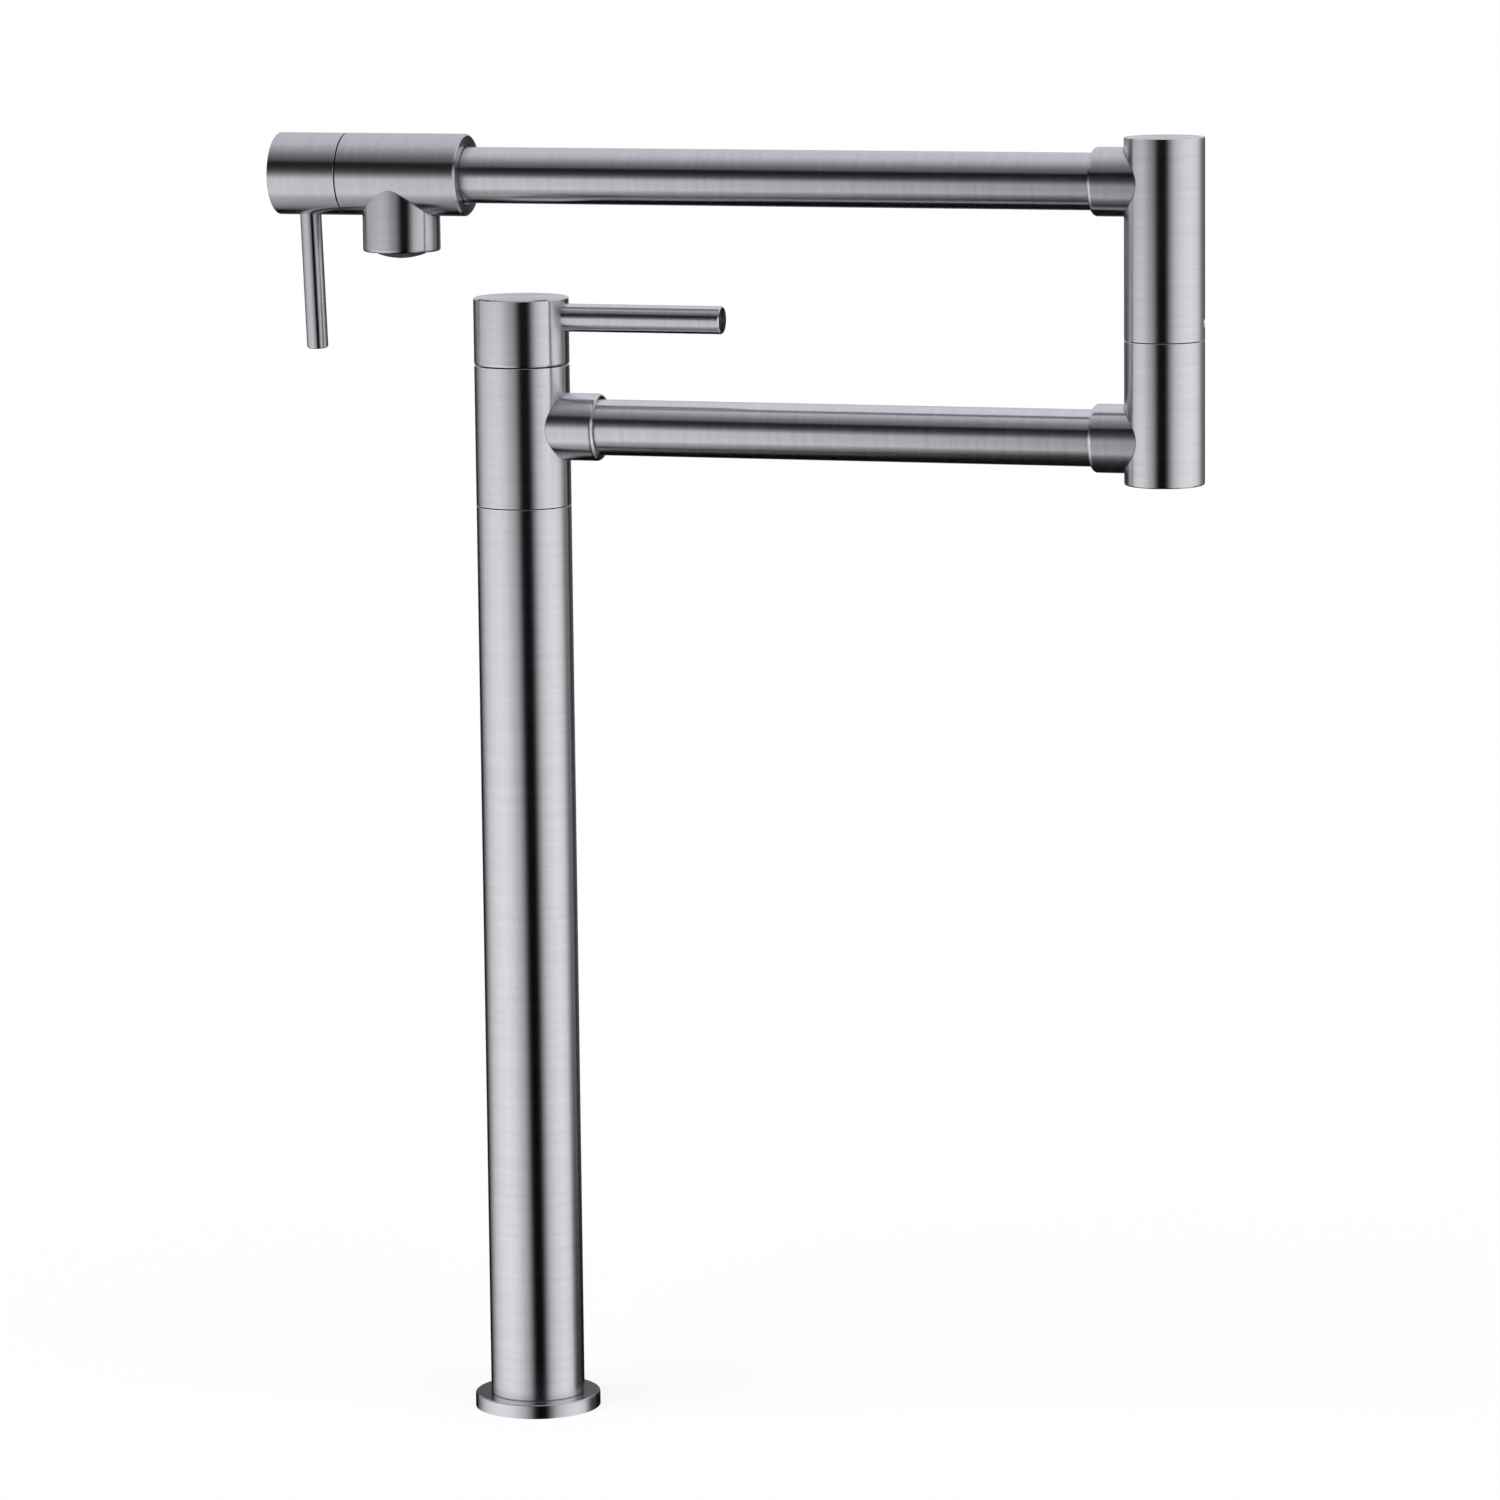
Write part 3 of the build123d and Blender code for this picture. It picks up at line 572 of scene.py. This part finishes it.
def raised(tree, height, strength, depth):
    """A surface direction bent by a bump pattern."""
    bump = {"Strength": strength, "Distance": depth, "Height": height}
    return add_node(tree, "ShaderNodeBump", bump).outputs[0]


def roughness_between(tree, mask, roughness, shares, mask_range=(0.0, 1.0)):
    """A roughness that swings between two shares of itself with a mask."""
    return rescale(tree, mask, *mask_range, *(roughness * share for share in shares))


def set_finish(tree, output, sockets):
    """Gives a piece's material its shader."""
    shader = add_node(tree, "ShaderNodeBsdfPrincipled", sockets)
    tree.links.new(shader.outputs[0], output.inputs["Surface"])


def brushed_metal(name, node, axis, colour, roughness, lines_per_metre):
    """Metal brushed round a piece's own axis, so that its reflections smear along that axis."""
    material, tree, output = new_material(name)
    place = about_own_axis(tree, node, axis)
    marks = add_node(tree, "ShaderNodeGroup", node_tree=brush_marks)
    tree.links.new(place, marks.inputs["Position"])
    marks.inputs["Lines per metre"].default_value = lines_per_metre
    streak = marks.outputs["Streak"]
    brushed = sum_of(
        tree,
        roughness_between(tree, streak, roughness, brush_roughness),
        roughness_between(tree, marks.outputs["Cloud"], roughness, (0.0, cloud_roughness)),
    )
    from_middle = calculate(tree, "ABSOLUTE", parts_of(tree, place)["Z"])
    end = half_length(node, axis)
    end_share = 1.0 if node in coarse_ended else 1.0 - end_smoothness
    finer = rescale(tree, from_middle, end - end_margin, end - end_margin / 2, 1.0, end_share)
    set_finish(
        tree,
        output,
        {
            "Base Color": two_shades(tree, streak, colour, brush_contrast),
            "Metallic": 1.0,
            "Roughness": calculate(tree, "MULTIPLY", brushed, finer),
            "Anisotropic": brush_anisotropy,
            "Anisotropic Rotation": quarter_turn,
            "Tangent": round_own_axis(tree, node, axis),
            "Normal": raised(tree, streak, brush_bump, surface_depth),
        },
    )
    return material


def moulded(name, colour, roughness, grains_per_metre, grain_bump):
    """A matt or glossy moulded material with a fine grain."""
    material, tree, output = new_material(name)
    grain = noise_at(tree, own_place(tree), grains_per_metre, grain_detail)
    set_finish(
        tree,
        output,
        {
            "Base Color": two_shades(tree, grain, colour, grain_contrast),
            "Roughness": roughness_between(tree, grain, roughness, grain_roughness, grain_range),
            "Normal": raised(tree, grain, grain_bump, surface_depth),
        },
    )
    return material


def ribbed_plastic(name, node, colour, roughness):
    """Moulded plastic with fine ribs that run outwards from an upright axis."""
    material, tree, output = new_material(name)
    x, y, z = parts_of(tree, about_own_axis(tree, node, upright))
    angle = calculate(tree, "ARCTAN2", y, x)
    wave = calculate(tree, "SINE", calculate(tree, "MULTIPLY", angle, rib_count))
    rib = rescale(tree, wave, -1.0, 1.0)
    set_finish(
        tree,
        output,
        {
            "Base Color": two_shades(tree, rib, colour, rib_contrast),
            "Roughness": roughness_between(tree, rib, roughness, rib_roughness),
            "Normal": raised(tree, rib, rib_bump, rib_depth),
        },
    )
    return material


def wear(node, material):
    """Puts a finish on a CAD piece."""
    for slot in cad_nodes[node].material_slots:
        slot.material = material


def wear_brushed_steel(node, axis):
    """Brushed stainless steel, whose colour is made lighter or darker on some pieces as painted
    light and shade.
    """
    shade = painted_light_by_piece.get(node, 1.0)
    # painted light and shade: the piece's steel colour scaled lighter or darker
    colour = [part * shade for part in steel_colour]
    name = f"brushed_{node}"
    wear(node, brushed_metal(name, node, axis, colour, steel_roughness, steel_lines_per_metre))


def wear_plain_steel(node, axis):
    """Darker, coarser steel."""
    name = f"plain_{node}"
    steel = (plain_steel_colour, plain_steel_roughness, steel_lines_per_metre)
    wear(node, brushed_metal(name, node, axis, *steel))


def wear_turned_brass(node, axis):
    """Brass with wide turning marks."""
    name = f"turned_{node}"
    brass = (brass_colour, brass_roughness, brass_lines_per_metre)
    wear(node, brushed_metal(name, node, axis, *brass))


# Column, posts and outlet
for node in (
    "base_flange",
    "riser_tube",
    "swivel_body",
    "column_handle_hub",
    "lower_post",
    "upper_post",
    "spout_outlet",
):
    wear_brushed_steel(node, upright)

# Arms, valve and levers
for node in (
    "lower_arm_inner_collar",
    "lower_arm_tube",
    "lower_arm_outer_collar",
    "upper_arm_collar",
    "upper_arm_tube",
    "spout_valve_body",
    "spout_handle_hub",
    "column_lever",
):
    wear_brushed_steel(node, along_arms)
wear_brushed_steel("spout_lever", down_lever)

# Supply pipe and screws
wear_plain_steel("supply_pipe", upright)
wear_plain_steel("elbow_set_screw", along_arms)
wear_plain_steel("column_grub_screw", behind_column)
wear_plain_steel("spout_grub_screw", behind_spout)

# Inner turned pieces
for node in (
    "base_plug",
    "column_core",
    "swivel_nut",
    "column_cartridge_sleeve",
    "column_stem",
    "elbow_spindle",
):
    wear_turned_brass(node, upright)
for node in ("spout_cartridge_sleeve", "spout_stem"):
    wear_turned_brass(node, along_arms)

# Seals, washers and discs
seal_rubber = moulded(
    "seal_rubber", (0.03, 0.03, 0.03), roughness=0.6, grains_per_metre=900.0, grain_bump=0.3
)
for node in (
    "deck_gasket",
    "column_rings",
    "column_cartridge_seal",
    "column_stem_ring",
    "elbow_rings",
    "aerator_seal",
    "spout_cartridge_seal",
    "spout_stem_ring",
):
    wear(node, seal_rubber)

white_washer = moulded(
    "white_washer", (0.82, 0.82, 0.80), roughness=0.5, grains_per_metre=700.0, grain_bump=0.15
)
for node in ("lower_thrust_washer", "upper_thrust_washer", "elbow_thrust_washer"):
    wear(node, white_washer)

ceramic = moulded(
    "ceramic_disc", (0.82, 0.80, 0.76), roughness=0.15, grains_per_metre=1500.0, grain_bump=0.05
)
for node in (
    "column_fixed_disc",
    "column_moving_disc",
    "spout_fixed_disc",
    "spout_moving_disc",
):
    wear(node, ceramic)

# Aerator
dark_plastic = (dark_plastic_colour, dark_plastic_roughness)
wear("aerator_housing", ribbed_plastic("ribbed_housing", "aerator_housing", *dark_plastic))
wear(
    "aerator_screen",
    moulded("dark_screen", *dark_plastic, grains_per_metre=1200.0, grain_bump=0.3),
)

make_tent()
make_floor()
make_world()
for name, (place, strength) in lamps.items():
    make_lamp(name, place, strength)
make_camera()
bpy.context.scene.view_settings.view_transform = "Standard"
